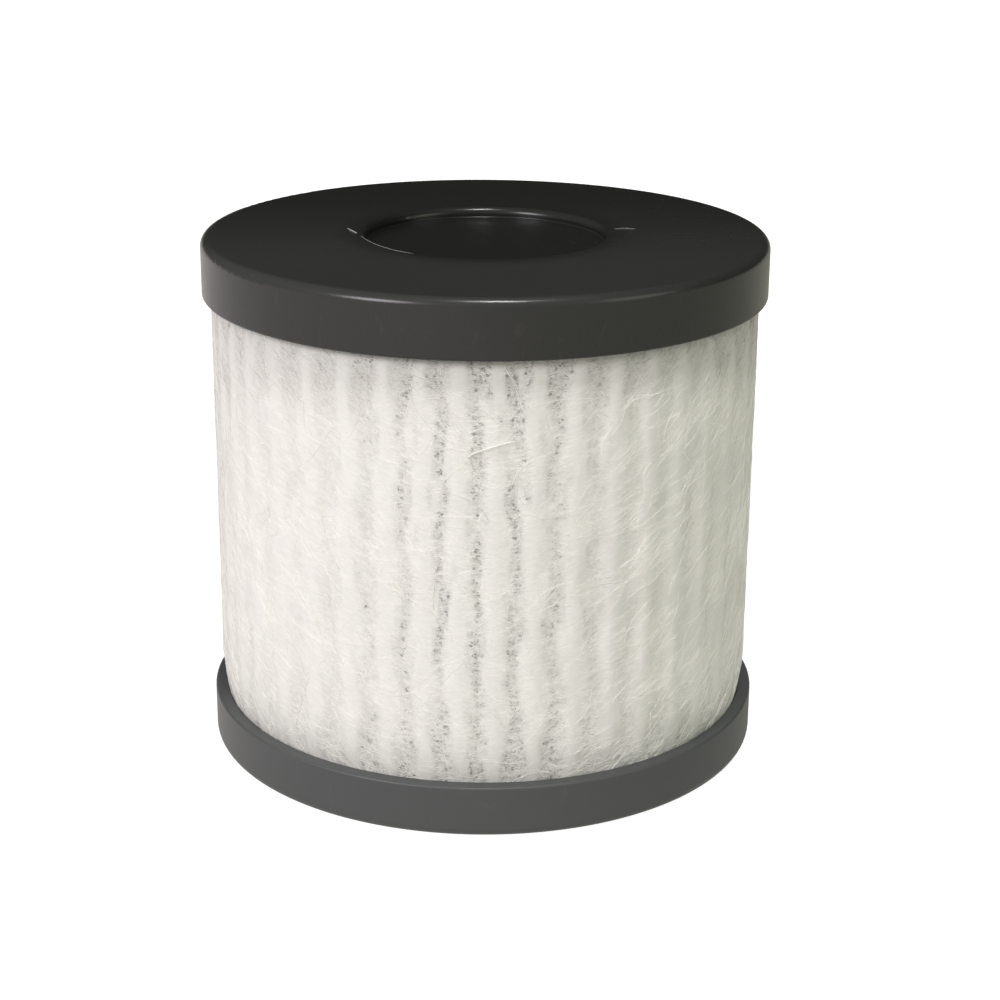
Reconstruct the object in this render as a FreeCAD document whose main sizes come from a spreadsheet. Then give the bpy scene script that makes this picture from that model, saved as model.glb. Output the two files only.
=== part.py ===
"""A round, free-standing pleated filter cartridge: a pleated pack inside a fibre web, bonded into two moulded end caps.

The closed cap is on top and the open cap, with the outlet and its seal ring, is underneath.
Millimetres, +Z up. The origin is the centre of the face that the cartridge stands on.
"""

import FreeCAD, Part
import math
import os

import Sketcher

DIMENSIONS = {
    # overall
    "cap_diameter": 80.0,
    "total_height": 74.5,
    # end caps: a skirt, a plate, a shallow round recess and a collar inside
    "open_cap_height": 7.4,
    "closed_cap_height": 8.1,
    "cap_wall": 1.9,
    "cap_plate": 1.4,
    "cap_edge_radius": 1.3,
    "cap_corner_radius": 0.5,
    "rim_outer_radius": 0.35,
    "rim_inner_radius": 0.15,
    "recess_diameter": 33.8,
    "recess_depth": 1.45,
    "recess_wall": 1.2,
    "recess_lip_radius": 1.0,
    "recess_floor_radius": 0.15,
    "outlet_diameter": 28.0,
    "outlet_lead_radius": 0.3,
    "collar_wall": 1.2,
    "collar_reach": 5.8,
    # support core
    "core_wall": 1.5,
    "core_clearance": 0.1,
    "core_columns": 12,
    "core_rows": 8,
    "core_window_width": 6.2,
    "core_window_height": 6.2,
    "core_row_pitch": 7.6,
    "core_edge_radius": 0.3,
    # fibre web round the pleats, which swells a little between the caps
    "web_thickness": 0.4,
    "web_clearance": 0.05,
    "web_bulge": 0.75,
    "web_low_neck": 6.0,
    "web_high_neck": 2.0,
    "web_seam_width": 1.4,
    # pleated pack, from upstream to downstream
    "pleat_count": 45,
    "scrim_thickness": 0.2,
    "medium_thickness": 0.4,
    "outer_fold_radius": 1.15,
    "inner_fold_radius": 0.55,
    "pack_clearance": 0.05,
    "fold_slow_wander": 1.14,
    "fold_fast_wander": 0.65,
    "pleat_seam_depth": 6.0,
    # potting: its level in the cap, and how far the folds stick out of it
    "potting_level": 5.2,
    "potting_set_back": 0.6,
    # seal ring
    "seal_inner_diameter": 28.6,
    "seal_outer_diameter": 33.0,
    "seal_thickness": 0.85,
    "seal_bead_radius": 0.45,
    "seal_edge_radius": 0.2,
}

# The folds aren't evenly spaced: they wander round the circle in slow and fast waves, in degrees.
SLOW_WAVES, SLOW_PHASE = 4, 164.7
FAST_WAVES, FAST_PHASE = 7, 247.4
FOLD_TURN = -1.1
FRONT = -90.0  # the direction of -Y, from which the waves are counted
SEAM = 90.0  # the pleated strip's ends meet at the back, at +Y
TINY = 1e-4


class Size:
    """A length from the sheet: its number, and the expression that binds a property to it."""

    def __init__(self, value, text):
        self.value, self.text = value, text

    def __add__(self, other):
        return Size(self.value + other.value, f"({self.text} + {other.text})")

    def __sub__(self, other):
        return Size(self.value - other.value, f"({self.text} - {other.text})")

    def __mul__(self, number):
        return Size(self.value * number, f"({self.text} * {number})")

    def __truediv__(self, number):
        return Size(self.value / number, f"({self.text} / {number})")


def make_sheet(doc):
    sheet = doc.addObject("Spreadsheet::Sheet", "dims")
    for row, (alias, value) in enumerate(DIMENSIONS.items(), start=1):
        sheet.set(f"A{row}", alias)
        sheet.set(f"B{row}", str(value))
        sheet.setAlias(f"B{row}", alias)
    doc.recompute()
    return sheet


doc = FreeCAD.newDocument("filter_cartridge")
sheet = make_sheet(doc)


def size(alias):
    return Size(float(sheet.get(alias)), f"dims.{alias}")


# Radii and levels that several pieces share, worked out from the driving dimensions.
cap_r = size("cap_diameter") / 2
skirt_in_r = cap_r - size("cap_wall")
recess_r = size("recess_diameter") / 2
boss_r = recess_r + size("recess_wall")
outlet_r = size("outlet_diameter") / 2
collar_r = outlet_r + size("collar_wall")
core_in_r = collar_r + size("core_clearance")
core_r = core_in_r + size("core_wall")
web_r = skirt_in_r - size("web_clearance")
web_in_r = web_r - size("web_thickness")
tip_r = web_in_r - size("pack_clearance")
root_r = core_r + size("pack_clearance")
boss_z = size("recess_depth") + size("cap_plate")
collar_z = boss_z + size("collar_reach")
pack_height = size("total_height") - boss_z * 2
pack_thickness = size("medium_thickness") + size("scrim_thickness") * 2


# ---------------------------------------------------------------- helpers


def bind(obj, prop, length):
    setattr(obj, prop, length.value)
    obj.setExpression(prop, length.text)


def lift(obj, height):
    obj.Placement.Base.z = height.value
    obj.setExpression("Placement.Base.z", height.text)


def plane(body, role):
    return next(f for f in body.Origin.OriginFeatures if f.Role == role)


def new_sketch(body, name, role="XZ_Plane"):
    sketch = body.newObject("Sketcher::SketchObject", name)
    sketch.AttachmentSupport = (plane(body, role), [""])
    sketch.MapMode = "FlatFace"
    return sketch


def hold(sketch, geometry, end, axis, length):
    """Fixes one coordinate of a point: on the axis for a length of None, or at that distance from it."""
    if length is None:
        on_axis = -2 if axis == "DistanceX" else -1
        sketch.addConstraint(Sketcher.Constraint("PointOnObject", geometry, end, on_axis))
        return
    index = sketch.addConstraint(Sketcher.Constraint(axis, -1, 1, geometry, end, length.value))
    sketch.setExpression(f"Constraints[{index}]", length.text)


def draw_outline(sketch, corners):
    """A closed outline of straight lines through (across, up) corners, each held to the sheet."""
    places = [
        FreeCAD.Vector(x.value if x else 0.0, y.value if y else 0.0, 0) for x, y in corners
    ]
    count = len(corners)
    first = sketch.GeometryCount
    for i in range(count):
        sketch.addGeometry(Part.LineSegment(places[i], places[(i + 1) % count]), False)
    for i in range(count):
        following = first + (i + 1) % count
        sketch.addConstraint(Sketcher.Constraint("Coincident", first + i, 2, following, 1))
    for i, (x, y) in enumerate(corners):
        hold(sketch, first + i, 1, "DistanceX", x)
        hold(sketch, first + i, 1, "DistanceY", y)


def draw_circle(sketch, radius):
    origin, normal = FreeCAD.Vector(0, 0, 0), FreeCAD.Vector(0, 0, 1)
    circle = sketch.addGeometry(Part.Circle(origin, normal, radius.value), False)
    sketch.addConstraint(Sketcher.Constraint("Coincident", circle, 3, -1, 1))
    index = sketch.addConstraint(Sketcher.Constraint("Radius", circle, radius.value))
    sketch.setExpression(f"Constraints[{index}]", radius.text)


def new_body(label):
    body = doc.addObject("PartDesign::Body", label)
    body.Label = label
    return body


def turned(body, name, corners):
    """A full turn about Z of an outline in the XZ plane."""
    sketch = new_sketch(body, f"{name}_outline")
    draw_outline(sketch, corners)
    turn = body.newObject("PartDesign::Revolution", name)
    turn.Profile = sketch
    turn.ReferenceAxis = (sketch, ["V_Axis"])
    turn.Angle = 360
    sketch.Visibility = False
    doc.recompute()
    return turn


def ring_pad(body, name, outer, inner, height):
    """A tube standing on the XY plane."""
    sketch = new_sketch(body, f"{name}_rings", "XY_Plane")
    draw_circle(sketch, outer)
    draw_circle(sketch, inner)
    pad = body.newObject("PartDesign::Pad", name)
    pad.Profile = sketch
    bind(pad, "Length", height)
    doc.recompute()
    return pad


def ring_edges(feature, radius, height):
    """The names of the round edges of that radius at that height, in the feature's own frame."""
    names = []
    for i, edge in enumerate(feature.Shape.Edges, start=1):
        curve = edge.Curve
        if not isinstance(curve, Part.Circle):
            continue
        same_radius = abs(curve.Radius - radius.value) < TINY
        same_height = abs(curve.Center.z - (height.value if height else 0.0)) < TINY
        if same_radius and same_height:
            names.append(f"Edge{i}")
    if not names:
        raise ValueError(f"{feature.Name} has no round edge of radius {radius.text}")
    return names


def rounded(body, base, name, edges, radius):
    fillet = body.newObject("PartDesign::Fillet", name)
    fillet.Base = (base, edges)
    bind(fillet, "Radius", radius)
    doc.recompute()
    return fillet


def turned_over(obj, height):
    """Turns a piece modelled on the bottom cap upside down, so that its outer face is at that height."""
    obj.Placement = FreeCAD.Placement(
        FreeCAD.Vector(0, 0, height.value), FreeCAD.Rotation(FreeCAD.Vector(1, 0, 0), 180)
    )
    obj.setExpression("Placement.Base.z", height.text)


# ---------------------------------------------------------------- end caps


def cap_corners(is_open, height):
    """Half the section of a cap with its outer face at z = 0, from the middle outwards."""
    recess, plate = size("recess_depth"), size("cap_plate")
    corners = [
        (outlet_r if is_open else None, recess),
        (recess_r, recess),
        (recess_r, None),
        (cap_r, None),
        (cap_r, height),
        (skirt_in_r, height),
        (skirt_in_r, plate),
        (boss_r, plate),
        (boss_r, boss_z),
        (collar_r, boss_z),
        (collar_r, collar_z),
        (outlet_r, collar_z),
    ]
    if not is_open:
        corners += [(outlet_r, boss_z), (None, boss_z)]
    return corners


def end_cap(label, is_open):
    """A moulded cap: skirt round the pleats, recessed middle, and a collar that the core slips over."""
    body = new_body(label)
    tag = "Open" if is_open else "Closed"
    height = size("open_cap_height" if is_open else "closed_cap_height")
    cap = turned(body, f"{tag}CapShell", cap_corners(is_open, height))
    roundings = [
        ("Edge", cap_r, None, "cap_edge_radius"),
        ("Corner", skirt_in_r, size("cap_plate"), "cap_corner_radius"),
        ("Lip", recess_r, None, "recess_lip_radius"),
        ("Floor", recess_r, size("recess_depth"), "recess_floor_radius"),
        ("RimOuter", cap_r, height, "rim_outer_radius"),
        ("RimInner", skirt_in_r, height, "rim_inner_radius"),
        ("CollarTop", collar_r, collar_z, "rim_outer_radius"),
    ]
    if is_open:
        roundings.append(("OutletMouth", outlet_r, size("recess_depth"), "outlet_lead_radius"))
    for name, radius, level, alias in roundings:
        edges = ring_edges(cap, radius, level)
        cap = rounded(body, cap, f"{tag}Cap{name}", edges, size(alias))
    return body


# ---------------------------------------------------------------- core, web and seal


def support_core():
    """The rigid window tube that keeps the pleats from being pushed inwards."""
    body = new_body("support_core")
    tube = ring_pad(body, "CoreTube", core_r, core_in_r, pack_height)
    edges = ring_edges(tube, core_r, None) + ring_edges(tube, core_r, pack_height)
    rounded(body, tube, "CoreEnds", edges, size("core_edge_radius"))

    # One pair of opposite windows in the lowest row, through both walls.
    sketch = new_sketch(body, "CoreWindow")
    left, right = size("core_window_width") * -0.5, size("core_window_width") * 0.5
    stack = size("core_row_pitch") * (int(size("core_rows").value) - 1)
    low = (pack_height - stack - size("core_window_height")) / 2
    high = low + size("core_window_height")
    draw_outline(sketch, [(left, low), (right, low), (right, high), (left, high)])
    cut = body.newObject("PartDesign::Pocket", "CoreWindowCut")
    cut.Profile = sketch
    cut.SideType = "Symmetric"
    cut.Type = "ThroughAll"
    doc.recompute()

    windows = body.newObject("PartDesign::MultiTransform", "CoreWindows")
    windows.Originals = [cut]
    rows = body.newObject("PartDesign::LinearPattern", "CoreRows")
    rows.Direction = (sketch, ["V_Axis"])
    bind(rows, "Length", stack)
    rows.Occurrences = int(size("core_rows").value)
    columns = body.newObject("PartDesign::PolarPattern", "CoreColumns")
    columns.Axis = (plane(body, "Z_Axis"), [""])
    columns.Angle = 360
    columns.Occurrences = int(size("core_columns").value)
    windows.Transformations = [rows, columns]
    body.Tip = windows
    lift(body, boss_z)
    doc.recompute()
    return body


def web_side(radius):
    """One side of the web's section, from the bottom up: straight in the caps, swollen between them."""
    low = size("open_cap_height")
    high = size("total_height") - size("closed_cap_height")
    swollen = radius + size("web_bulge")
    return [
        (radius, boss_z),
        (radius, low),
        (swollen, low + size("web_low_neck")),
        (swollen, high - size("web_high_neck")),
        (radius, high),
        (radius, size("total_height") - boss_z),
    ]


def web_ring(label):
    """The web's full tube, before its seam is cut."""
    tube = new_body(label)
    turned(tube, f"{label}_tube", web_side(web_r) + web_side(web_in_r)[::-1])
    return tube


def seam_slot(label):
    """The upright box at the back where the two edges of the web meet."""
    slot = doc.addObject("Part::Box", label)
    bind(slot, "Length", size("web_seam_width"))
    bind(slot, "Width", cap_r)
    bind(slot, "Height", pack_height)
    slot.Placement.Base = FreeCAD.Vector(-size("web_seam_width").value / 2, 0, boss_z.value)
    slot.setExpression("Placement.Base.x", (size("web_seam_width") * -0.5).text)
    slot.setExpression("Placement.Base.z", boss_z.text)
    return slot


def fibre_web():
    """The sheer fibre web round the pleat tips, open along its seam, and the hot-melt bead that closes it."""
    web = doc.addObject("Part::Cut", "FibreWeb")
    web.Base, web.Tool = web_ring("web_blank"), seam_slot("web_slot")
    web.Label = "fibre_web"
    bead = doc.addObject("Part::Common", "WebSeamBead")
    bead.Base, bead.Tool = web_ring("bead_blank"), seam_slot("bead_slot")
    bead.Label = "web_seam_bead"
    return web, bead


def seal_ring():
    """The flat seal ring in the open cap's recess, with a round sealing bead on its exposed face."""
    body = new_body("outlet_seal_ring")
    inner, outer = size("seal_inner_diameter") / 2, size("seal_outer_diameter") / 2
    top = size("recess_depth")
    low = top - size("seal_thickness")
    ring = turned(body, "SealRing", [(inner, low), (outer, low), (outer, top), (inner, top)])
    edges = ring_edges(ring, inner, low) + ring_edges(ring, outer, low)
    ring = rounded(body, ring, "SealEdges", edges, size("seal_edge_radius"))
    bead_radius = size("seal_bead_radius")
    middle = (inner + outer) / 2
    sketch = new_sketch(body, "SealBeadSection")
    circle = Part.Circle(
        FreeCAD.Vector(middle.value, low.value, 0), FreeCAD.Vector(0, 0, 1), bead_radius.value
    )
    sketch.addGeometry(circle, False)
    hold(sketch, 0, 3, "DistanceX", middle)
    hold(sketch, 0, 3, "DistanceY", low)
    radius = sketch.addConstraint(Sketcher.Constraint("Radius", 0, bead_radius.value))
    sketch.setExpression(f"Constraints[{radius}]", bead_radius.text)
    bead = body.newObject("PartDesign::Revolution", "SealBead")
    bead.Profile = sketch
    bead.ReferenceAxis = (sketch, ["V_Axis"])
    bead.Angle = 360
    doc.recompute()
    return body


# ---------------------------------------------------------------- pleated pack


def polar(radius, degrees):
    angle = math.radians(degrees)
    return FreeCAD.Vector(radius * math.cos(angle), radius * math.sin(angle), 0)


def fold_angle(even):
    """Where a fold really lies, for the evenly spaced angle that it would have."""
    around = even - FRONT
    slow = math.sin(math.radians(SLOW_WAVES * around + SLOW_PHASE))
    fast = math.sin(math.radians(FAST_WAVES * around + FAST_PHASE))
    wander = size("fold_slow_wander").value * slow + size("fold_fast_wander").value * fast
    return even + FOLD_TURN + wander


def fold_centres():
    """The centres of the outer and inner folds, in order round the strip from the seam back to the seam."""
    half = pack_thickness.value / 2
    outer_centre_r = tip_r.value - half - size("outer_fold_radius").value
    inner_centre_r = root_r.value + half + size("inner_fold_radius").value
    count = int(size("pleat_count").value)
    pitch = 360.0 / count
    outer = [polar(outer_centre_r, fold_angle(SEAM + k * pitch)) for k in range(count + 1)]
    inner = [polar(inner_centre_r, fold_angle(SEAM + (k + 0.5) * pitch)) for k in range(count)]
    return outer, inner


def flank_normal(start, end, radii, turn):
    """The left-hand normal of the flank that touches the fold circles round start and end."""
    step = end - start
    heading = math.atan2(step.y, step.x) + turn * math.asin(radii / step.Length)
    return FreeCAD.Vector(-math.sin(heading), math.cos(heading), 0)


def fold_arc(centre, start, end, clockwise):
    """The arc from start to end round a fold's centre."""
    first = math.atan2(start.y - centre.y, start.x - centre.x)
    last = math.atan2(end.y - centre.y, end.x - centre.x)
    sweep = (first - last) % (2 * math.pi) if clockwise else (last - first) % (2 * math.pi)
    middle = first - sweep / 2 if clockwise else first + sweep / 2
    radius = (start - centre).Length
    through = centre + FreeCAD.Vector(radius * math.cos(middle), radius * math.sin(middle), 0)
    return Part.Arc(start, through, end).toShape()


def strip_side(offset):
    """The edges along one side of the pleated strip, offset upstream from its middle, and its two end points."""
    outer, inner = fold_centres()
    outer_r = size("outer_fold_radius").value
    inner_r = size("inner_fold_radius").value
    edges = []
    first = last = None
    for k, root in enumerate(inner):
        inward = flank_normal(outer[k], root, outer_r + inner_r, 1)
        outward = flank_normal(root, outer[k + 1], outer_r + inner_r, -1)
        flank_start = outer[k] - inward * (outer_r + offset)
        root_start = root + inward * (inner_r - offset)
        root_end = root + outward * (inner_r - offset)
        flank_end = outer[k + 1] - outward * (outer_r + offset)
        if last is None:
            first = flank_start
        else:
            edges.append(fold_arc(outer[k], last, flank_start, clockwise=False))
        edges.append(Part.LineSegment(flank_start, root_start).toShape())
        edges.append(fold_arc(root, root_start, root_end, clockwise=True))
        edges.append(Part.LineSegment(root_end, flank_end).toShape())
        last = flank_end
    return edges, first, last


def strip_face(outside, inside):
    """The section of a pleated sheet between two offsets, closed at its two ends."""
    far, far_first, far_last = strip_side(outside)
    near, near_first, near_last = strip_side(inside)
    ends = [
        Part.LineSegment(far_last, near_last).toShape(),
        Part.LineSegment(near_first, far_first).toShape(),
    ]
    return Part.Face(Part.Wire(Part.__sortEdges__(far + ends + near)))


def extruded(label, section, base, height):
    """An upright prism on a drawn section, standing at that level."""
    profile = doc.addObject("Part::Feature", f"{label}_section")
    profile.Shape = section
    prism = doc.addObject("Part::Extrusion", label)
    prism.Base = profile
    prism.DirMode = "Custom"
    prism.Dir = FreeCAD.Vector(0, 0, 1)
    prism.Solid = True
    bind(prism, "LengthFwd", height)
    prism.Label = label
    lift(prism, base)
    return prism


def pleated_sheets():
    """The three sheets that are pleated together."""
    half = pack_thickness.value / 2
    scrim = size("scrim_thickness").value
    sheets = [
        ("upstream_scrim", half, half - scrim),
        ("filter_medium", half - scrim, scrim - half),
        ("downstream_scrim", scrim - half, -half),
    ]
    return [
        extruded(label, strip_face(outside, inside), boss_z, pack_height)
        for label, outside, inside in sheets
    ]


def pleat_seam_bead():
    """The glue strip between the two end flanks of the pleated strip."""
    outer, inner = fold_centres()
    radii = size("outer_fold_radius").value + size("inner_fold_radius").value
    gap = size("outer_fold_radius").value - pack_thickness.value / 2
    depth = size("pleat_seam_depth").value
    start_normal = flank_normal(outer[0], inner[0], radii, 1)
    end_normal = flank_normal(inner[-1], outer[-1], radii, -1)
    start_top = outer[0] - start_normal * gap
    end_top = outer[-1] - end_normal * gap
    start_low = start_top + FreeCAD.Vector(start_normal.y, -start_normal.x, 0) * depth
    end_low = end_top - FreeCAD.Vector(end_normal.y, -end_normal.x, 0) * depth
    section = Part.Face(Part.makePolygon([start_top, start_low, end_low, end_top, start_top]))
    return extruded("pleat_seam_bead", section, boss_z, pack_height)


# ---------------------------------------------------------------- potting


def potting_ring(label, upside_down):
    """The adhesive that fills a cap up to its level, before the pleats are pressed into it."""
    body = new_body(f"{label}_blank")
    level = size("potting_level")
    plate = size("cap_plate")
    outside = tip_r - size("potting_set_back")
    inside = root_r + size("potting_set_back")
    corners = [
        (boss_r, plate),
        (skirt_in_r, plate),
        (skirt_in_r, boss_z),
        (outside, boss_z),
        (outside, level),
        (inside, level),
        (inside, boss_z),
        (boss_r, boss_z),
    ]
    turned(body, f"{label}_fill", corners)
    fillet_edges = ring_edges(body.Tip, skirt_in_r, plate)
    rounded(body, body.Tip, f"{label}_corner", fillet_edges, size("cap_corner_radius"))
    if upside_down:
        turned_over(body, size("total_height"))
    return body


def potting(label, upside_down):
    """The set adhesive, with the slot that the pleated pack leaves in it."""
    half = pack_thickness.value / 2
    pack = extruded(f"{label}_pleats", strip_face(half, -half), boss_z, pack_height)
    bead = pleat_seam_bead()
    bead.Label = f"{label}_seam"
    pressed = doc.addObject("Part::MultiFuse", f"{label}_pressed")
    pressed.Shapes = [pack, bead]
    pressed.Refine = True
    slotted = doc.addObject("Part::Cut", label)
    slotted.Base, slotted.Tool = potting_ring(label, upside_down), pressed
    slotted.Label = label
    return slotted


# ---------------------------------------------------------------- the cartridge


def build():
    """Every piece of the cartridge, in place."""
    open_cap = end_cap("open_end_cap", is_open=True)
    closed_cap = end_cap("closed_end_cap", is_open=False)
    turned_over(closed_cap, size("total_height"))
    web, web_bead = fibre_web()
    pieces = [open_cap, closed_cap, support_core(), web, web_bead, seal_ring()]
    pieces += pleated_sheets()
    pieces.append(pleat_seam_bead())
    pieces.append(potting("open_end_potting", upside_down=False))
    pieces.append(potting("closed_end_potting", upside_down=True))
    doc.recompute()
    return pieces


def check_document(pieces):
    """Stops the build if a feature failed or a piece isn't a sound solid."""
    for obj in doc.Objects:
        if "Invalid" in obj.State or "Error" in obj.State:
            raise RuntimeError(f"{obj.Name} failed: {obj.State}")
    for piece in pieces:
        shape = piece.Shape
        if shape.isNull() or not shape.isValid() or not shape.Solids:
            raise RuntimeError(f"{piece.Label} has no valid solid")


def export(pieces):
    os.makedirs("parts", exist_ok=True)
    for piece in pieces:
        piece.Shape.exportStep(os.path.join("parts", f"{piece.Label}.step"))
        volume = piece.Shape.Volume / 1000
        print(f"{piece.Label}: {len(piece.Shape.Solids)} solid, {volume:.2f} cm3")


pieces = build()
check_document(pieces)
export(pieces)
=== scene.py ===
"""The looks of a pleated filter cartridge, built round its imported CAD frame. Metres, +Z up."""

import math

import bmesh
import bpy
import numpy as np
from mathutils import Matrix, Vector

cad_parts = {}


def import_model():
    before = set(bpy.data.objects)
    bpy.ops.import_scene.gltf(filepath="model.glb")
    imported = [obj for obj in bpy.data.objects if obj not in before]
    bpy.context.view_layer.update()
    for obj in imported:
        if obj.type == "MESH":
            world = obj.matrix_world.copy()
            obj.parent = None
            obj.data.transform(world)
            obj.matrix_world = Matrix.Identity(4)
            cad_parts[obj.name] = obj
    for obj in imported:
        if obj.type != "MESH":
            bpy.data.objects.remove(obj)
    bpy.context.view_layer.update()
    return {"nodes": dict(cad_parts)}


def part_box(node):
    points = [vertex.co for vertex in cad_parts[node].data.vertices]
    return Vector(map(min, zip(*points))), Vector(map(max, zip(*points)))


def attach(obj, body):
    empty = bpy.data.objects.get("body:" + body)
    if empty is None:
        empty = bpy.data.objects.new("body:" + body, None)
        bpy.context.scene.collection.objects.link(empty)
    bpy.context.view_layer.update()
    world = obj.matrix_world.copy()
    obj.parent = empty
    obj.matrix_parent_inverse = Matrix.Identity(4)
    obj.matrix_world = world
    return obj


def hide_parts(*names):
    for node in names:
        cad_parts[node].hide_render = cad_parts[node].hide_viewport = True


MM = 0.001
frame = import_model()
node = frame["nodes"]

# ---------------------------------------------------------------- measures read from the frame


def coordinates(obj):
    """The places of an object's vertices, one row each."""
    co = np.zeros(len(obj.data.vertices) * 3)
    obj.data.vertices.foreach_get("co", co)
    return co.reshape(-1, 3)


def from_axis(co):
    """How far each place is from the cartridge's axis."""
    return np.hypot(co[:, 0], co[:, 1])


def skirt(name):
    """The lowest and highest level of a cap's skirt."""
    co = coordinates(node[name])
    level = co[from_axis(co) > CAP_R - 1 * MM, 2]
    return level.min(), level.max()


CAP_R, TOP_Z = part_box("closed_end_cap")[1].x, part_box("closed_end_cap")[1].z
RIM_LOW, RIM_HIGH = skirt("open_end_cap")[1], skirt("closed_end_cap")[0]

web_co = coordinates(node["fibre_web"])
WEB_Z0, WEB_Z1 = web_co[:, 2].min(), web_co[:, 2].max()
WEB_R = from_axis(web_co)[web_co[:, 2] < WEB_Z0 + 0.01 * MM].max()  # its outside where it sits in the caps
WEB_BULGE = from_axis(web_co).max() - WEB_R  # how far it swells out between them
WEB_THICK = 0.3 * MM  # on a pleat's tip
WEB_FLUFF = 0.75 * MM  # how much thicker it is half way between two tips
WEB_MIDDLE = WEB_R - 0.2 * MM
WEB_SAG = 0.3 * MM  # between two tips a usual gap apart
USUAL_GAP = math.radians(8)
SEAM_HALF = 0.7 * MM  # half the opening between the web's two edges
LOW_NECK, HIGH_NECK = 6 * MM, 2 * MM  # over which the web swells out from each cap
FOLDS_START = 18 * MM  # the pleats sway and swell more and more from this radius outwards
FOLD_SWAY = 0.0025  # radians, to either side at the outer folds
STRAND_SIDES = 3
SEAM, FRONT = math.pi / 2, -math.pi / 2


def tip_angles():
    """The directions in which the web is held out: the pleats' outer folds, and its own stiff seam."""
    co = coordinates(node["upstream_scrim"])
    on_tip = from_axis(co) > from_axis(co).max() - 0.02 * MM
    angles = np.sort(np.arctan2(co[on_tip, 1], co[on_tip, 0]))
    groups = np.split(angles, np.where(np.diff(angles) > math.radians(2))[0] + 1)
    return np.sort([g.mean() for g in groups] + [SEAM])


TIPS = tip_angles()


def across_gap(angle):
    """How far each angle lies from one pleat tip to the next, from 0 to 1, and the gap's width in radians."""
    ring = np.concatenate([TIPS, [TIPS[0] + 2 * math.pi]])
    turned = (angle - TIPS[0]) % (2 * math.pi) + TIPS[0]
    i = np.clip(np.searchsorted(ring, turned, side="right") - 1, 0, len(TIPS) - 1)
    width = ring[i + 1] - ring[i]
    return (turned - ring[i]) / width, width


# ---------------------------------------------------------------- smooth random fields


class Waves:
    """A smooth random field round the cartridge: a sum of waves in angle and height, about -1 to 1."""

    def __init__(self, seed, count, max_turns, shortest, longest):
        rng = np.random.default_rng(seed)
        self.turns = rng.integers(-max_turns, max_turns + 1, count)
        self.rise = 2 * math.pi / rng.uniform(shortest, longest, count)
        self.phase = rng.uniform(0, 2 * math.pi, count)
        self.share = 1.4 / math.sqrt(count)

    def __call__(self, angle, z):
        total = np.zeros(np.broadcast(angle, z).shape)
        for turns, rise, phase in zip(self.turns, self.rise, self.phase):
            total += np.sin(turns * angle + rise * z + phase)
        return total * self.share


sway = Waves(3, 14, 30, 14 * MM, 60 * MM)
slack = Waves(5, 18, 40, 8 * MM, 40 * MM)
ripple = Waves(7, 26, 90, 5 * MM, 14 * MM)
cloud = Waves(11, 26, 60, 5 * MM, 26 * MM)
patch = Waves(13, 30, 110, 4 * MM, 22 * MM)


def swell(z):
    """How far the pack and its web stand out: nothing at a cap's rim, and fully a neck's height from it."""
    share = np.clip(np.minimum((z - RIM_LOW) / LOW_NECK, (RIM_HIGH - z) / HIGH_NECK), 0, 1)
    return WEB_BULGE * np.sin(share * math.pi / 2)


def heights(in_cap, low_neck, between, high_neck):
    """Levels from the web's lower edge to its upper one, among them both rims and both necks' ends."""
    stops = [WEB_Z0, RIM_LOW, RIM_LOW + LOW_NECK, RIM_HIGH - HIGH_NECK, RIM_HIGH, WEB_Z1]
    steps = [in_cap, low_neck, between, high_neck, in_cap]
    runs = [np.linspace(a, b, n, endpoint=False) for a, b, n in zip(stops, stops[1:], steps)]
    return np.concatenate([*runs, [WEB_Z1]])


def web_radius(angle, z):
    """The middle of the web: on the pleat tips, and sagging a little between them, but not in the caps."""
    u, width = across_gap(angle)
    uneven = 1 + slack(angle, z) / 3
    sag = WEB_SAG * uneven * (width / USUAL_GAP) ** 2 * swell(z) / WEB_BULGE
    return WEB_MIDDLE + swell(z) - sag * np.sin(math.pi * u) ** 2 + 0.02 * MM * ripple(angle, z)


def nearness_to_end(z, reach):
    """1 at either cap's rim, falling to 0 that far away from it."""
    return np.clip(1 - np.minimum(z - RIM_LOW, RIM_HIGH - z) / reach, 0, 1)


def openness(angle):
    """How thin the web is on that side: it was laid thinnest in front, and thick to either side of it."""
    return 0.18 + 0.82 * (0.5 + 0.5 * np.cos(3 * (angle - FRONT))) ** 1.8


def looseness(angle, z):
    """0 where the web lies closed on a pleat's tip, up to 1 where it hangs loose in the middle of a gap."""
    u, width = across_gap(angle)
    depth = 1 - np.abs(2 * u - 1)  # 0 on a tip, 1 half way to the next
    start = 0.36 - 0.17 * patch(angle, z) - 0.3 * nearness_to_end(z, 13 * MM) - 3.0 * (width - USUAL_GAP)
    thinned = openness(angle)
    thinned = thinned + (1 - thinned) * 0.65 * nearness_to_end(z, 12 * MM)
    return np.clip((depth - start) / 0.46, 0, 1) * thinned


def lean(angle):
    """The slope of most fibres there: falling to the right on the left side, and rising on the right."""
    return math.radians(36) * np.cos(angle)


def grain_lines(angle, z):
    """How far along and across the run of the fibres each place lies, in metres."""
    steps = np.linspace(-math.pi, math.pi, 721)
    climb = np.concatenate([[0], np.cumsum(np.tan(lean(steps[:-1] + math.pi / 720)))]) * (steps[1] - steps[0])
    turned = (angle + math.pi) % (2 * math.pi) - math.pi
    return WEB_R * angle, z - WEB_R * np.interp(turned, steps, climb)


# ---------------------------------------------------------------- mesh helpers


def new_object(name, mesh):
    """A new object in the scene, with this mesh."""
    obj = bpy.data.objects.new(name, mesh)
    bpy.context.scene.collection.objects.link(obj)
    return obj


def paint(obj, *materials):
    """Gives the object these materials and no others."""
    obj.data.materials.clear()
    for m in materials:
        obj.data.materials.append(m)


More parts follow.
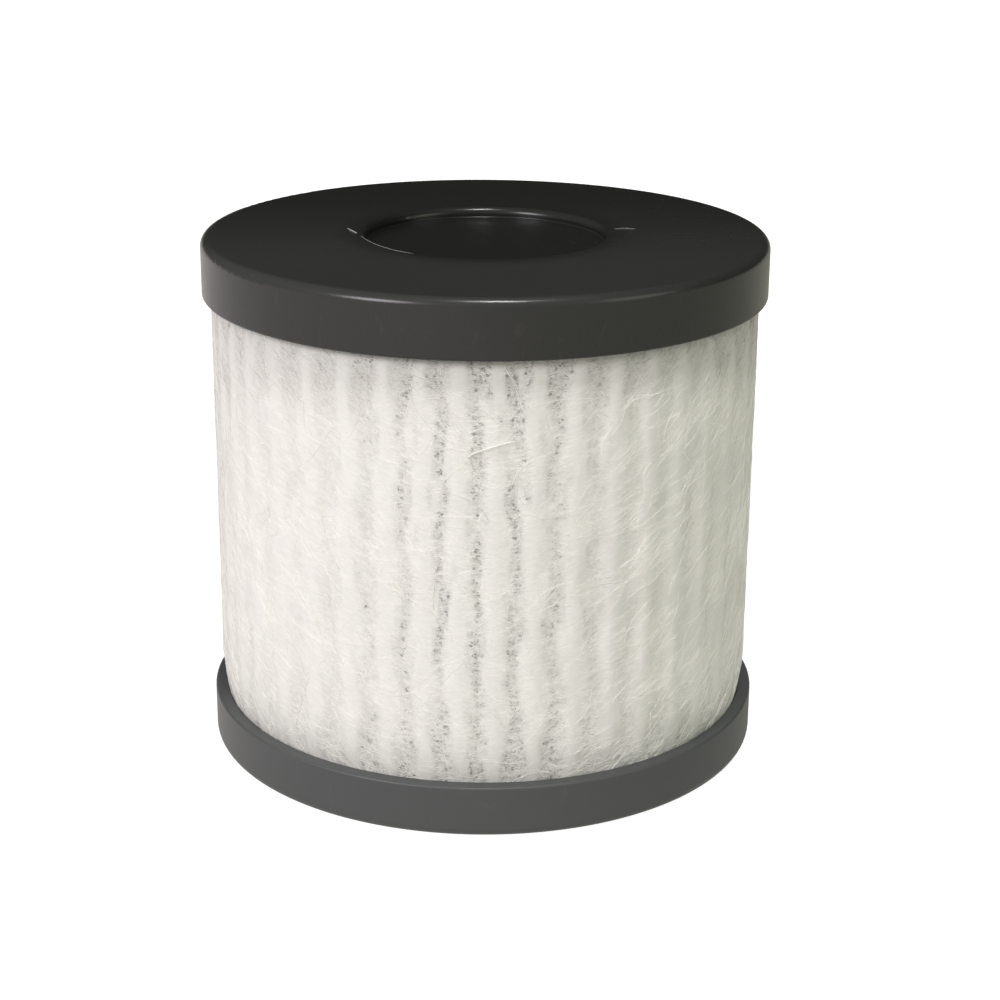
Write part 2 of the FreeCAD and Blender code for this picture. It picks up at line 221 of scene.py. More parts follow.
def tubes(name, paths, radii, sides):
    """Thin closed tubes as one object. paths has the axes (tube, point, xyz), and radii (tube, point)."""
    paths = np.asarray(paths)
    count, points, _ = paths.shape
    ahead = np.gradient(paths, axis=1)
    ahead /= np.linalg.norm(ahead, axis=2, keepdims=True) + 1e-12
    up = paths * [1, 1, 0]
    up /= np.linalg.norm(up, axis=2, keepdims=True) + 1e-12
    side = np.cross(ahead, up)
    side /= np.linalg.norm(side, axis=2, keepdims=True) + 1e-12
    lift = np.cross(side, ahead)
    turn = 2 * math.pi * np.arange(sides) / sides
    ring = (
        side[:, :, None] * np.cos(turn)[None, None, :, None]
        + lift[:, :, None] * np.sin(turn)[None, None, :, None]
    )
    vertices = paths[:, :, None] + ring * radii[:, :, None, None]
    index = np.arange(count * points * sides).reshape(count, points, sides)
    following = np.roll(index, -1, axis=2)
    quads = np.stack(
        [index[:, :-1], index[:, 1:], following[:, 1:], following[:, :-1]], axis=-1
    ).reshape(-1, 4)
    mesh = bpy.data.meshes.new(name)
    ends = [index[:, 0], index[:, -1, ::-1]]
    corner_count = len(quads) * 4 + sum(e.size for e in ends)
    face_count = len(quads) + sum(len(e) for e in ends)
    mesh.vertices.add(vertices.size // 3)
    mesh.vertices.foreach_set("co", vertices.ravel())
    mesh.loops.add(corner_count)
    mesh.loops.foreach_set("vertex_index", np.concatenate([quads.ravel()] + [e.ravel() for e in ends]))
    mesh.polygons.add(face_count)
    sizes = np.concatenate([np.full(len(quads), 4), np.full(face_count - len(quads), sides)])
    mesh.polygons.foreach_set("loop_start", np.concatenate([[0], np.cumsum(sizes)[:-1]]))
    mesh.update(calc_edges=True)
    mesh.polygons.foreach_set("use_smooth", [True] * face_count)
    return new_object(name, mesh)


# ---------------------------------------------------------------- materials


class Nodes:
    """A small shorthand for building a material's nodes."""

    def __init__(self, name):
        self.material = bpy.data.materials.new(name)
        self.material.use_nodes = True
        self.tree = self.material.node_tree
        self.shader = self.tree.nodes["Principled BSDF"]

    def add(self, kind, **settings):
        made = self.tree.nodes.new(kind)
        for key, value in settings.items():
            setattr(made, key, value)
        return made

    def feed(self, socket, value):
        if isinstance(value, bpy.types.NodeSocket):
            self.tree.links.new(value, socket)
        elif value is not None:
            socket.default_value = value

    def place(self, scale=(1, 1, 1)):
        """The piece's own coordinates, in metres, stretched by scale."""
        return self.stretched(self.add("ShaderNodeTexCoord").outputs["Object"], scale)

    def stretched(self, vector, scale):
        made = self.add("ShaderNodeMapping")
        made.inputs["Scale"].default_value = scale
        self.feed(made.inputs["Vector"], vector)
        return made.outputs["Vector"]

    def attribute(self, name):
        return self.add("ShaderNodeAttribute", attribute_name=name)

    def noise(self, vector, scale, detail=3.0, roughness=0.55, distortion=0.0):
        made = self.add("ShaderNodeTexNoise")
        self.feed(made.inputs["Vector"], vector)
        made.inputs["Scale"].default_value = scale
        made.inputs["Detail"].default_value = detail
        made.inputs["Roughness"].default_value = roughness
        made.inputs["Distortion"].default_value = distortion
        return made.outputs["Fac"]

    def voronoi(self, vector, scale, feature="F1"):
        made = self.add("ShaderNodeTexVoronoi", feature=feature)
        self.feed(made.inputs["Vector"], vector)
        made.inputs["Scale"].default_value = scale
        return made

    def warped(self, vector, scale, reach):
        """The vector pushed about by up to half of reach."""
        noise = self.add("ShaderNodeTexNoise")
        noise.inputs["Scale"].default_value = scale
        self.feed(noise.inputs["Vector"], vector)
        push = self.add("ShaderNodeVectorMath", operation="MULTIPLY_ADD")
        self.feed(push.inputs[0], noise.outputs["Color"])
        push.inputs[1].default_value = (reach, reach, reach)
        self.feed(push.inputs[2], vector)
        return push.outputs["Vector"]

    def math(self, operation, a, b=None, clamp=False):
        made = self.add("ShaderNodeMath", operation=operation, use_clamp=clamp)
        self.feed(made.inputs[0], a)
        self.feed(made.inputs[1], b)
        return made.outputs[0]

    def between(self, value, low, high, to_low=0.0, to_high=1.0):
        """to_low where value is low, to_high where it is high, and smoothly from one to the other."""
        made = self.add("ShaderNodeMapRange", interpolation_type="SMOOTHSTEP")
        self.feed(made.inputs["Value"], value)
        for key, number in (("From Min", low), ("From Max", high), ("To Min", to_low), ("To Max", to_high)):
            made.inputs[key].default_value = number
        return made.outputs["Result"]

    def mix(self, share, a, b):
        made = self.add("ShaderNodeMix", data_type="RGBA")
        self.feed(made.inputs["Factor"], share)
        self.feed(made.inputs["A"], a)
        self.feed(made.inputs["B"], b)
        return made.outputs["Result"]

    def bump(self, height, distance, strength=1.0, under=None):
        made = self.add("ShaderNodeBump")
        made.inputs["Strength"].default_value = strength
        made.inputs["Distance"].default_value = distance
        self.feed(made.inputs["Height"], height)
        self.feed(made.inputs["Normal"], under)
        return made.outputs["Normal"]

    def painted_shade_recess_and_back(self):
        """Where the top cap gets painted shade: 1 in its recess and at the back of its face, 0 elsewhere."""
        parts = self.add("ShaderNodeSeparateXYZ")
        self.feed(parts.inputs[0], self.place())
        from_middle = self.add("ShaderNodeVectorMath", operation="LENGTH")
        self.feed(from_middle.inputs[0], self.place((1, 1, 0)))
        outside = self.between(from_middle.outputs["Value"], 15.5 * MM, 22.5 * MM)
        frontness = self.between(parts.outputs["Y"], 30 * MM, -24 * MM)
        face = self.between(parts.outputs["Z"], TOP_Z - 3 * MM, TOP_Z - 1.6 * MM)
        # the front of the top face, outside the recess, gets no painted shade
        unshaded_front = self.math("MULTIPLY", frontness, outside)
        return self.math("MULTIPLY", face, self.math("SUBTRACT", 1.0, unshaded_front))

    def set(self, **values):
        """Sets or links the shader's sockets, and gives back the material."""
        for key, value in values.items():
            self.feed(self.shader.inputs[key.replace("_", " ")], value)
        return self.material


def moulded_plastic(name, colour, worn, gloss):
    """Dark grey moulded plastic: a fine grain, faint scuffs, a little dust, and painted shade in the top
    cap's recess and at the back of its top face. gloss lowers its roughness.
    """
    n = Nodes(name)
    place = n.place()
    grain = n.noise(place, 5200, 2.0)
    swell = n.noise(place, 420, 2.0)
    scuffs = n.noise(n.place((1.0, 6.0, 1.0)), 330, 5.0, 0.7, 0.8)
    smear = n.noise(place, 38, 3.0)
    specks = n.voronoi(place, 420)
    chosen = n.math("GREATER_THAN", specks.outputs["Color"], 0.965)
    dot = n.math("LESS_THAN", specks.outputs["Distance"], 0.045)
    dust = n.math("MULTIPLY", chosen, dot)
    tone = n.mix(n.between(scuffs, 0.55, 0.78), colour, worn)
    # Painted shade: two thirds of the way to black in the top cap's recess and at the back of its top face
    tone = n.mix(n.painted_shade_recess_and_back(), tone, n.mix(0.66, tone, (0, 0, 0, 1)))
    tone = n.mix(dust, tone, (0.4, 0.39, 0.37, 1))
    smooth = n.between(smear, 0.3, 0.75, 0.44 - gloss, 0.52 - gloss)
    rough = n.math("ADD", smooth, n.math("MULTIPLY", dust, 0.3))
    shape = n.bump(swell, 0.05 * MM, 0.3)
    shape = n.bump(grain, 0.012 * MM, 0.4, shape)
    return n.set(Base_Color=tone, Roughness=rough, Normal=shape, Specular_IOR_Level=0.4)


def felt(name, colour, shade, coarse=1.0):
    """White non-woven felt: matted fibres, slightly uneven in tone."""
    n = Nodes(name)
    place = n.place()
    long_way = n.place((1.0, 1.0, 0.25))
    matted = n.noise(place, 2600 / coarse, 5.0, 0.7, 1.2)
    strands = n.noise(long_way, 5200 / coarse, 3.0, 0.6, 2.5)
    blotch = n.noise(place, 170, 3.0)
    tone = n.mix(n.between(blotch, 0.3, 0.75), colour, shade)
    tone = n.mix(n.between(matted, 0.35, 0.62, 0.0, 0.3), tone, shade)
    height = n.math("ADD", matted, n.math("MULTIPLY", strands, 0.6))
    return n.set(
        Base_Color=tone,
        Roughness=n.between(matted, 0.2, 0.8, 0.75, 0.95),
        Normal=n.bump(height, 0.09 * MM, 0.8),
        Sheen_Weight=0.25,
        Sheen_Roughness=0.5,
    )


def web_felt():
    """The web's finest fibres: closed over the pleat tips, a ragged net between, and darker near the caps by
    painted shade.
    """
    n = Nodes("web felt")
    loose = n.attribute("loose").outputs["Fac"]
    run = n.attribute("run").outputs["Vector"]
    streaks = n.noise(n.stretched(run, (0.3, 1.0, 1.0)), 2300, 3.0, 0.6, 0.5)
    mottle = n.noise(n.stretched(run, (0.7, 1.0, 1.0)), 1500, 3.0, 0.65, 0.4)
    ragged = n.noise(n.stretched(run, (0.8, 1.0, 1.0)), 1250, 5.0, 0.72, 0.3)
    cells = n.voronoi(n.warped(run, 1700, 0.3 * MM), 2100, "DISTANCE_TO_EDGE")
    between_strands = n.between(cells.outputs["Distance"], 0.03, 0.13)
    closed = n.math("ADD", ragged, n.math("MULTIPLY", n.math("SUBTRACT", 1.0, loose), 0.3))
    hole = n.math("MULTIPLY", n.between(closed, 0.46, 0.53, 0.85, 0.0), between_strands)
    thin = n.math("MULTIPLY", n.between(mottle, 0.32, 0.66, 0.37, 0.1), loose)
    alpha = n.math("SUBTRACT", 0.99, n.math("MAXIMUM", hole, thin), clamp=True)
    tone = n.mix(n.between(streaks, 0.35, 0.65), (0.8, 0.787, 0.757, 1), (0.845, 0.832, 0.802, 1))
    # Painted shade: darker towards either cap's rim, where the caps shade the web
    tone = n.mix(n.attribute("painted_end_shade").outputs["Fac"], tone, (0.6, 0.595, 0.565, 1))
    relief = n.math("ADD", streaks, n.math("MULTIPLY", mottle, 0.6))
    return n.set(
        Base_Color=tone,
        Roughness=0.8,
        Alpha=alpha,
        Sheen_Weight=0.1,
        Specular_IOR_Level=0.25,
        Normal=n.bump(relief, 0.05 * MM, 0.45),
    )


def fibre(name, colour):
    """One spun fibre: slightly shiny."""
    return Nodes(name).set(Base_Color=colour, Roughness=0.42, Sheen_Weight=0.15, Specular_IOR_Level=0.45)


def glue(name, colour, shade):
    """Set adhesive: smooth, with soft swells and a few trapped bubbles."""
    n = Nodes(name)
    place = n.place()
    swell = n.noise(place, 300, 2.0)
    cells = n.voronoi(place, 900)
    bubble = n.between(cells.outputs["Distance"], 0.0, 0.2, 1.0, 0.0)
    tone = n.mix(n.between(swell, 0.3, 0.7), colour, shade)
    shape = n.bump(swell, 0.2 * MM, 0.6)
    return n.set(
        Base_Color=tone,
        Roughness=n.between(swell, 0.3, 0.7, 0.25, 0.4),
        Normal=n.bump(bubble, 0.04 * MM, 0.5, shape),
    )


def core_plastic():
    """Natural white moulded plastic, a little waxy."""
    n = Nodes("core plastic")
    place = n.place()
    swell = n.noise(place, 260, 2.0)
    grain = n.noise(place, 4000, 2.0)
    tone = n.mix(n.between(swell, 0.3, 0.7), (0.74, 0.735, 0.7, 1), (0.8, 0.795, 0.77, 1))
    shape = n.bump(swell, 0.06 * MM, 0.4)
    return n.set(
        Base_Color=tone,
        Roughness=n.between(swell, 0.3, 0.7, 0.36, 0.48),
        Normal=n.bump(grain, 0.01 * MM, 0.5, shape),
    )


def seal_rubber():
    """Soft black rubber with a bloom of pale dust."""
    n = Nodes("seal rubber")
    place = n.place()
    bloom = n.noise(place, 240, 4.0, 0.65)
    grain = n.noise(place, 6000, 2.0)
    tone = n.mix(n.between(bloom, 0.45, 0.75), (0.018, 0.018, 0.018, 1), (0.05, 0.05, 0.05, 1))
    return n.set(
        Base_Color=tone,
        Roughness=n.between(bloom, 0.3, 0.7, 0.55, 0.75),
        Normal=n.bump(grain, 0.015 * MM, 0.6),
    )


# ---------------------------------------------------------------- pleated pack


def wavy_sheet(name):
    """A copy of a pleated CAD sheet that swells out with the web, and whose folds sway a little."""
    mesh = node[name].data.copy()
    mesh.name = f"wavy_{name}"
    low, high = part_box(name)
    bm = bmesh.new()
    bm.from_mesh(mesh)
    bmesh.ops.remove_doubles(bm, verts=bm.verts, dist=1e-7)
    for height in heights(1, 2, 5, 2)[1:-1]:
        everything = bm.verts[:] + bm.edges[:] + bm.faces[:]
        bmesh.ops.bisect_plane(bm, geom=everything, plane_co=(0, 0, height), plane_no=(0, 0, 1))
    bm.to_mesh(mesh)
    bm.free()
    obj = new_object(f"wavy_{name}", mesh)
    co = coordinates(obj)
    angle = np.arctan2(co[:, 1], co[:, 0])
    radius = from_axis(co)
    middle = np.sin(math.pi * np.clip((co[:, 2] - low.z) / (high.z - low.z), 0, 1)) ** 0.5
    outward = np.clip((radius - FOLDS_START) / (WEB_R - FOLDS_START), 0, 1)
    angle = angle + middle * outward * FOLD_SWAY * sway(angle, co[:, 2])
    radius = radius + outward**2 * swell(co[:, 2])
    co[:, 0], co[:, 1] = radius * np.cos(angle), radius * np.sin(angle)
    mesh.vertices.foreach_set("co", co.ravel())
    mesh.update()
    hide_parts(name)
    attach(obj, "root")
    return obj


def pleated_pack():
    """The strip's three sheets, which share their levels and so still touch all over."""
    scrim = felt("scrim felt", (0.85, 0.843, 0.8, 1), (0.78, 0.773, 0.73, 1))
    medium = felt("medium felt", (0.84, 0.833, 0.79, 1), (0.77, 0.763, 0.72, 1), 1.6)
    for name, material in (("upstream_scrim", scrim), ("downstream_scrim", scrim), ("filter_medium", medium)):
        paint(wavy_sheet(name), material)


# ---------------------------------------------------------------- fibre web


def web_film():
    """The web as a thin closed shell that lies on the pleat tips and dips between, open at its seam."""
    z = heights(3, 5, 36, 4)
    around, up = 945, len(z) - 1
    gap = SEAM_HALF / WEB_R
    angle = SEAM + gap + (2 * math.pi - 2 * gap) * np.arange(around + 1) / around
    a, h = np.meshgrid(angle, z, indexing="ij")
    outside = web_radius(a, h) + WEB_THICK / 2
    u, _ = across_gap(a)
    fluff = WEB_FLUFF * np.sin(math.pi * u) ** 2 * swell(h) / WEB_BULGE
    skins = [outside, outside - WEB_THICK - fluff]
    vertices = np.concatenate(
        [np.stack([r * np.cos(a), r * np.sin(a), h], axis=-1).reshape(-1, 3) for r in skins]
    )
    i, j = np.meshgrid(np.arange(around), np.arange(up), indexing="ij")
    first = (i * (up + 1) + j).ravel()
    quads = np.stack([first, first + up + 1, first + up + 2, first + 1], axis=1)
    skin = (around + 1) * (up + 1)
    row, column = np.arange(around + 1) * (up + 1), np.arange(up + 1)
    edge = np.concatenate([row, row[-1] + column[1:], row[-2::-1] + up, column[-2:0:-1]])
    edge_end = np.roll(edge, -1)
    rim = np.stack([edge, edge + skin, edge_end + skin, edge_end], axis=1)
    mesh = bpy.data.meshes.new("web_film")
    mesh.from_pydata(vertices.tolist(), [], np.concatenate([quads, quads[:, ::-1] + skin, rim]).tolist())
    mesh.polygons.foreach_set("use_smooth", [True] * len(mesh.polygons))
    mesh.update()
    film = new_object("web_film", mesh)
    loose = looseness(a, h)
    inner_loose = loose * (0.42 + 0.5 * nearness_to_end(h, 12 * MM))  # the inner face hides most of the gaps
    along, across = grain_lines(a, h)
    run = np.stack([along, across, np.zeros_like(along)], axis=-1).reshape(-1, 3)
    painted_end_shade = 0.6 * nearness_to_end(h, 14 * MM).ravel() ** 2  # painted shade: the web is drawn darker towards either cap's rim
    for name, kind, key, values in (
        ("loose", "FLOAT", "value", np.concatenate([loose.ravel(), inner_loose.ravel()])),
        ("run", "FLOAT_VECTOR", "vector", np.tile(run, (2, 1)).ravel()),
        ("painted_end_shade", "FLOAT", "value", np.tile(painted_end_shade, 2)),
    ):
        mesh.attributes.new(name, kind, "POINT").data.foreach_set(key, values)
    paint(film, web_felt())
    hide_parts("fibre_web")
    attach(film, "root")


def lay_fibres(rng, angle, z, heading, length, thickness, lift):
    """Paths and radii of fibres that lie on the web. Every argument after rng has one value per fibre."""
    count, points = len(angle), 9
    s = np.linspace(-0.5, 0.5, points)[None, :]
    curl = rng.normal(0, 1, count) * 0.55
    way = heading[:, None] + curl[:, None] * s * 2
    step = length[:, None] / (points - 1)
    along = np.cumsum(np.cos(way) * step, axis=1)
    rise = np.cumsum(np.sin(way) * step, axis=1)
    a = angle[:, None] + (along - along.mean(axis=1, keepdims=True)) / WEB_R
    h = z[:, None] + rise - rise.mean(axis=1, keepdims=True)
    seam = (SEAM_HALF - 0.1 * MM) / WEB_R  # their ends are just caught in the seam's bead
    a = SEAM + np.clip((a - SEAM) % (2 * math.pi), seam, 2 * math.pi - seam)
    h = np.clip(h, WEB_Z0 + 0.1 * MM, WEB_Z1 - 0.1 * MM)
    resting = web_radius(a, h) + WEB_THICK / 2
    bridge = rng.uniform(0.0, 0.9, count)[:, None]
    taut = WEB_MIDDLE + WEB_THICK / 2 + swell(h)
    wave = 0.02 * MM * np.sin(9 * s + rng.uniform(0, 2 * math.pi, count)[:, None])
    r = resting * (1 - bridge) + taut * bridge + lift[:, None] * (1 - 4 * s**2) + wave
    in_cap = (h < RIM_LOW) | (h > RIM_HIGH)
    r = np.where(in_cap, np.minimum(r, WEB_R - 0.02 * MM), r)
    paths = np.stack([r * np.cos(a), r * np.sin(a), h], axis=-1)
    return paths, thickness[:, None] * (1 - 0.5 * np.abs(2 * s) ** 3)


def web_fibres(seed, start, end, count):
    """The plain fibres of one sector, in clouds, and most of them along the web's run."""
    rng = np.random.default_rng(seed)
    angle = rng.uniform(start, end, count * 3)
    z = rng.uniform(WEB_Z0, WEB_Z1, count * 3)
    keep = rng.random(count * 3) < np.clip(0.5 + 0.4 * cloud(angle, z), 0.1, 1)
    angle, z = angle[keep][:count], z[keep][:count]
    count = len(angle)
    spread = np.where(rng.random(count) < 0.3, math.radians(60), math.radians(16))
    heading = lean(angle) * rng.uniform(0.5, 1.5, count) + rng.normal(0, 1, count) * spread
    length = rng.uniform(2.5, 11, count) * MM
    thickness = rng.uniform(0.016, 0.034, count) * np.where(rng.random(count) < 0.2, 1.8, 1) * MM
    return lay_fibres(rng, angle, z, heading, length, thickness, rng.uniform(-0.06, 0.05, count) * MM)


def bright_fibres(count):
    """The few long, thick fibres that stand off the web and catch the light."""
    rng = np.random.default_rng(41)
    angle = rng.uniform(0, 2 * math.pi, count)
    z = rng.uniform(RIM_LOW, RIM_HIGH, count)
    heading = lean(angle) * 1.3 + rng.normal(0, 1, count) * math.radians(16)
    length = rng.uniform(3, 10, count) * MM
    thickness = rng.uniform(0.026, 0.042, count) * MM
    return lay_fibres(rng, angle, z, heading, length, thickness, rng.uniform(0.0, 0.2, count) * MM)


def crossing_fibres(count):
    """Short, taut fibres that cross the gaps between the pleats, where the web is thin."""
    rng = np.random.default_rng(43)
    angle = rng.uniform(0, 2 * math.pi, count * 12)
    z = rng.uniform(RIM_LOW, RIM_HIGH, count * 12)
    open_there = looseness(angle, z) > 0.35
    angle, z = angle[open_there][:count], z[open_there][:count]
    count = len(angle)
    heading = lean(angle) * 0.5 + rng.choice([-1, 1], count) * np.radians(rng.uniform(12, 62, count))
    length = rng.uniform(1.4, 3.4, count) * MM
    thickness = rng.uniform(0.024, 0.04, count) * MM
    return lay_fibres(rng, angle, z, heading, length, thickness, rng.uniform(0.0, 0.08, count) * MM)


def strands(name, laid, seed, whites):
    """Laid fibres as one piece of the web, each of one of the three whites."""
    paths, thickness = laid
    obj = tubes(name, paths, thickness, STRAND_SIDES)
    paint(obj, *whites)
    kinds = np.random.default_rng(seed).choice(3, len(paths), p=[0.35, 0.45, 0.2])
    side_faces = (paths.shape[1] - 1) * STRAND_SIDES
    slots = np.concatenate([np.repeat(kinds, side_faces), np.tile(kinds, 2)])
    obj.data.polygons.foreach_set("material_index", slots.astype(np.int32))
    obj.visible_shadow = False  # so fine that they hardly darken what lies under them
    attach(obj, "root")


def fibre_web():
    """All the fibres that are thick enough to be seen one by one."""
    whites = [
        fibre("bright fibre", (0.92, 0.908, 0.872, 1)),
        fibre("plain fibre", (0.83, 0.817, 0.78, 1)),
        fibre("dull fibre", (0.78, 0.767, 0.73, 1)),
    ]
    sectors = 6
    for i in range(sectors):
        start = SEAM + 2 * math.pi * i / sectors
        end = start + 2 * math.pi / sectors
        strands(f"web_fibres_{i + 1}", web_fibres(100 + i, start, end, 1800), 200 + i, whites)
    strands("bright_fibres", bright_fibres(100), 210, whites)
    strands("crossing_fibres", crossing_fibres(2600), 211, whites)


def seam_bead():
    """The hot-melt line that closes the web's seam: flat, a little lumpy, and over both of its edges."""
    z = np.linspace(WEB_Z0 + 0.1 * MM, WEB_Z1 - 0.1 * MM, 160)
    middle = WEB_MIDDLE + swell(z)
    flatness = 0.2 + 0.13 * swell(z) / WEB_BULGE  # flattest in the caps, where it is as thin as the web
    path = np.stack([np.zeros_like(z), middle, z], axis=-1)
    half_width = (0.85 + 0.07 * slack(SEAM, z)) * MM
    obj = tubes("seam_bead", path[None], half_width[None], 20)
    co = coordinates(obj)
    centre = np.interp(co[:, 2], z, middle)
    co[:, 1] = centre + (co[:, 1] - centre) * np.interp(co[:, 2], z, flatness)
    obj.data.vertices.foreach_set("co", co.ravel())
    obj.data.update()
    paint(obj, glue("seam melt", (0.8, 0.785, 0.73, 1), (0.84, 0.825, 0.775, 1)))
    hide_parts("web_seam_bead")
    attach(obj, "root")


def stray_thread(name, places, thickness, material):
    """A thread through (degrees round, millimetres out, millimetres up) places, smoothed between them."""
    angle, radius, z = np.array(places).T
    knots = np.arange(len(places))
    fine = np.linspace(0, len(places) - 1, 8 * len(places))
    a, r, h = (np.interp(fine, knots, values) for values in (np.radians(angle), radius * MM, z * MM))
    path = np.stack([r * np.cos(a), r * np.sin(a), h], axis=-1)
    for _ in range(6):
        path[1:-1] = (path[:-2] + 2 * path[1:-1] + path[2:]) / 4
    taper = 1 - 0.6 * np.abs(np.linspace(-1, 1, len(fine))) ** 4
    obj = tubes(name, path[None], (thickness * MM * taper)[None], 6)
    paint(obj, material)
    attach(obj, "root")


def lint():
    """The loose threads: one standing off the web in front, and three shed round the top cap's recess."""
    pale = fibre("pale lint", (0.86, 0.85, 0.8, 1))
    dull = fibre("dull lint", (0.4, 0.39, 0.36, 1))
    top = TOP_Z / MM
    web = (WEB_R + WEB_BULGE) / MM
    over_web = [
        (-93.6, web + 0.03, 53.4),
        (-91.5, web + 0.2, 54.3),
        (-88.8, web + 0.3, 54.9),
        (-86, web + 0.2, 55.5),
        (-83.5, web + 0.04, 55.7),
    ]
    along_lip = [
        (-174, 17.9, top - 0.02),
        (-163, 17.5, top - 0.05),
        (-150, 17.2, top - 0.12),
        (-137, 17.2, top - 0.12),
        (-124, 17.5, top - 0.01),
    ]
    left_of_recess = [(-184, 19.6, top + 0.04), (-179, 18.8, top + 0.06), (-174, 18.1, top + 0.03)]
    right_of_recess = [(6.8, 18.4, top + 0.03), (7.3, 19.6, top + 0.05), (6, 21.4, top + 0.03)]
    stray_thread("stray_thread", over_web, 0.085, pale)
    stray_thread("lint_left", along_lip, 0.03, dull)
    stray_thread("lint_tuft", left_of_recess, 0.08, dull)
    stray_thread("lint_right", right_of_recess, 0.03, dull)


# ---------------------------------------------------------------- light, floor and camera


def world():
    """White to the eye, but to light and reflections a room that is bright in front and left, dim behind."""
    scene = bpy.context.scene
    scene.world = bpy.data.worlds.new("room")
    scene.world.use_nodes = True
    tree = scene.world.node_tree
    room = tree.nodes["Background"]
    seen = tree.nodes.new("ShaderNodeBackground")
    coords = tree.nodes.new("ShaderNodeTexCoord")
    towards_dark = tree.nodes.new("ShaderNodeVectorMath")
    slope = tree.nodes.new("ShaderNodeMapRange")
    path = tree.nodes.new("ShaderNodeLightPath")
    mix = tree.nodes.new("ShaderNodeMixShader")
    seen.inputs["Color"].default_value = (1, 1, 1, 1)
    room.inputs["Color"].default_value = (0.97, 1.0, 0.92, 1)
    towards_dark.operation = "DOT_PRODUCT"
    towards_dark.inputs[1].default_value = (0.48, 0.72, -0.5)
    for key, number in (("From Min", -1.0), ("From Max", 0.4), ("To Min", 0.62), ("To Max", 0.03)):
        slope.inputs[key].default_value = number
    tree.links.new(coords.outputs["Generated"], towards_dark.inputs[0])
    tree.links.new(towards_dark.outputs["Value"], slope.inputs["Value"])
    tree.links.new(slope.outputs["Result"], room.inputs["Strength"])
    tree.links.new(path.outputs["Is Camera Ray"], mix.inputs["Fac"])
    tree.links.new(room.outputs[0], mix.inputs[1])
    tree.links.new(seen.outputs[0], mix.inputs[2])
    tree.links.new(mix.outputs[0], tree.nodes["World Output"].inputs["Surface"])


def area_light(name, place, target, size, power, colour):
    """A round soft lamp that faces its target."""
    data = bpy.data.lights.new(name, "AREA")
    data.shape, data.size, data.energy, data.color = "DISK", size, power, colour
    lamp = bpy.data.objects.new(name, data)
    lamp.location = place
    lamp.rotation_euler = (Vector(target) - Vector(place)).to_track_quat("-Z", "Y").to_euler()
    bpy.context.scene.collection.objects.link(lamp)
    return lamp


def floor():
    """A pale floor, white to the eye; in light and reflections it is duller, most of all to the right."""
    reach = 6.0
    mesh = bpy.data.meshes.new("floor")
    corners = [(-reach, -reach, 0), (reach, -reach, 0), (reach, reach, 0), (-reach, reach, 0)]
    mesh.from_pydata(corners, [], [(0, 1, 2, 3)])
    obj = new_object("floor", mesh)
    n = Nodes("pale floor")
    tone = n.noise(n.place(), 3.0, 2.0)
    paper = n.mix(n.between(tone, 0.3, 0.7), (0.3, 0.3, 0.298, 1), (0.33, 0.33, 0.328, 1))
    n.set(Base_Color=paper, Roughness=0.9, Specular_IOR_Level=0.1)
    n.set(Emission_Color=(1, 1, 1, 1), Emission_Strength=0.93)
    parts = n.add("ShaderNodeSeparateXYZ")
    n.feed(parts.inputs[0], n.place())
    rightness = n.between(parts.outputs["X"], -0.2, 0.2)
    dull = n.add("ShaderNodeEmission")
    n.feed(dull.inputs["Color"], n.mix(rightness, (0.84, 0.8, 0.785, 1), (0.46, 0.455, 0.39, 1)))
    eye = n.add("ShaderNodeMixShader")
    n.feed(eye.inputs["Fac"], n.add("ShaderNodeLightPath").outputs["Is Camera Ray"])
    n.feed(eye.inputs[1], dull.outputs["Emission"])
    n.feed(eye.inputs[2], n.shader.outputs["BSDF"])
    n.feed(n.tree.nodes["Material Output"].inputs["Surface"], eye.outputs["Shader"])
    paint(obj, n.material)


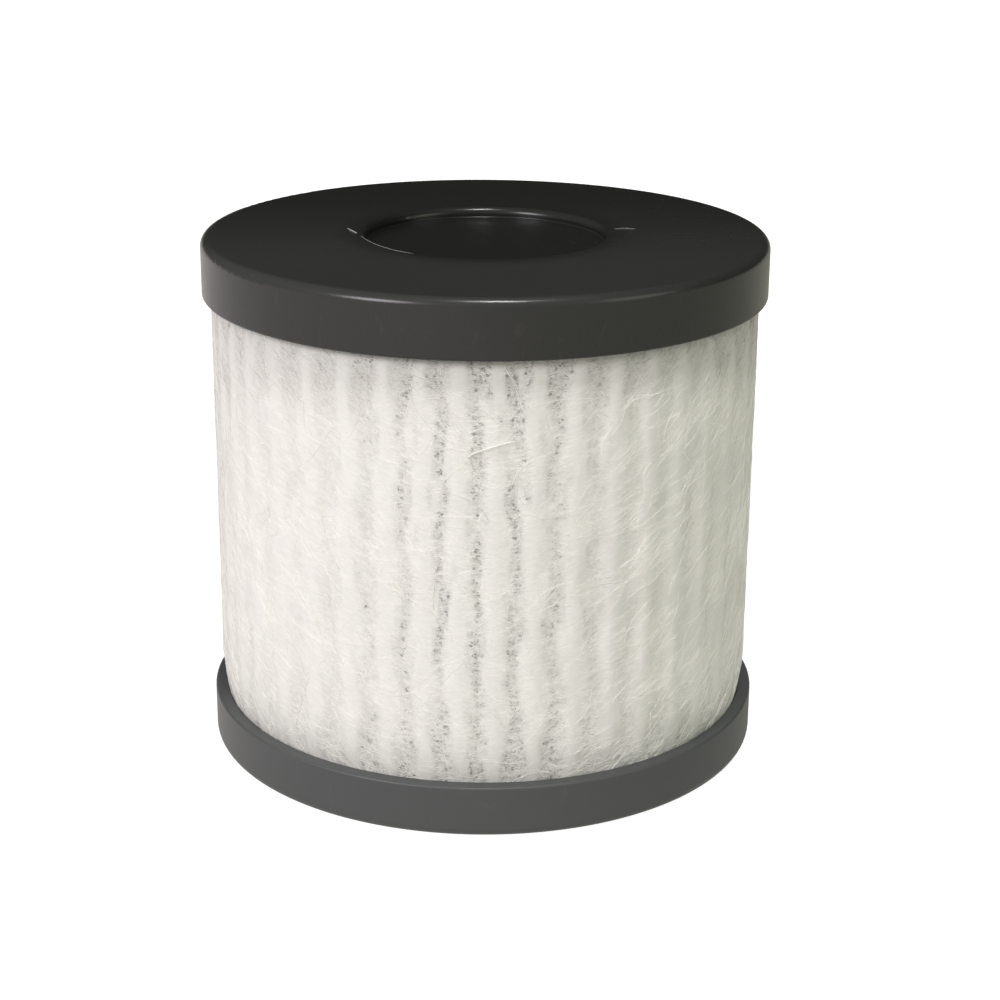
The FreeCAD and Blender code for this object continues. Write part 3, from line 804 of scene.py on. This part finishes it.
def studio():
    """A large lamp in front to the left, a small one overhead, a weak one to the right, and one behind."""
    world()
    floor()
    middle = (0, 0, TOP_Z / 2)
    area_light("key", (-0.75, -0.75, 0.62), middle, 0.5, 6.7, (1.0, 0.93, 1.0))
    area_light("overhead", (0.05, -0.28, 0.95), middle, 0.16, 3.6, (0.98, 1.0, 0.95))
    area_light("fill", (0.9, -0.5, 0.4), middle, 0.6, 1.35, (0.93, 1.0, 0.8))
    behind = area_light("behind", (0.25, 0.95, 0.3), middle, 0.6, 3.4, (1.0, 0.97, 0.97))
    behind.visible_glossy = False  # it brightens the far side without a glare on the top cap


def camera():
    """The eye is a few cap diameters away, turned a little to the right and tipped a little on its side."""
    scene = bpy.context.scene
    data = bpy.data.cameras.new("camera")
    data.sensor_width = 36.0
    data.lens = 78.92
    data.clip_start = 0.01
    eye = bpy.data.objects.new("camera", data)
    diameter = 2 * CAP_R
    eye.location = (0, -3.8073 * diameter, 1.743 * diameter)
    heading = Matrix.Rotation(math.radians(-0.437), 3, "Z")
    pitch = Matrix.Rotation(math.radians(90 - 19.02), 3, "X")
    tip = Matrix.Rotation(math.radians(0.45), 3, "Z")
    eye.rotation_euler = (heading @ pitch @ tip).to_euler()
    scene.collection.objects.link(eye)
    scene.camera = eye
    scene.view_settings.view_transform = "Standard"


# ---------------------------------------------------------------- the cartridge


def main():
    """The rigid pieces keep their CAD shape and get a finish; the soft ones are built anew."""
    studio()
    camera()
    # Both caps are one plastic. The satin copy for the open end cap is drawn lighter as painted light, for
    # the light it gets from the floor, and is rougher.
    glossy = moulded_plastic("glossy cap plastic", (0.029, 0.029, 0.0275, 1), (0.038, 0.038, 0.036, 1), 0.22)
    satin_lit_copy = moulded_plastic("satin cap plastic", (0.075, 0.078, 0.08, 1), (0.09, 0.093, 0.095, 1), 0.06)
    paint(node["closed_end_cap"], glossy)
    paint(node["open_end_cap"], satin_lit_copy)
    paint(node["support_core"], core_plastic())
    paint(node["outlet_seal_ring"], seal_rubber())
    potting = glue("potting", (0.09, 0.088, 0.083, 1), (0.12, 0.117, 0.11, 1))
    paint(node["open_end_potting"], potting)
    paint(node["closed_end_potting"], potting)
    melt = glue("hot melt", (0.78, 0.76, 0.68, 1), (0.84, 0.82, 0.75, 1))
    paint(node["pleat_seam_bead"], melt)
    pleated_pack()
    web_film()
    fibre_web()
    seam_bead()
    lint()


main()
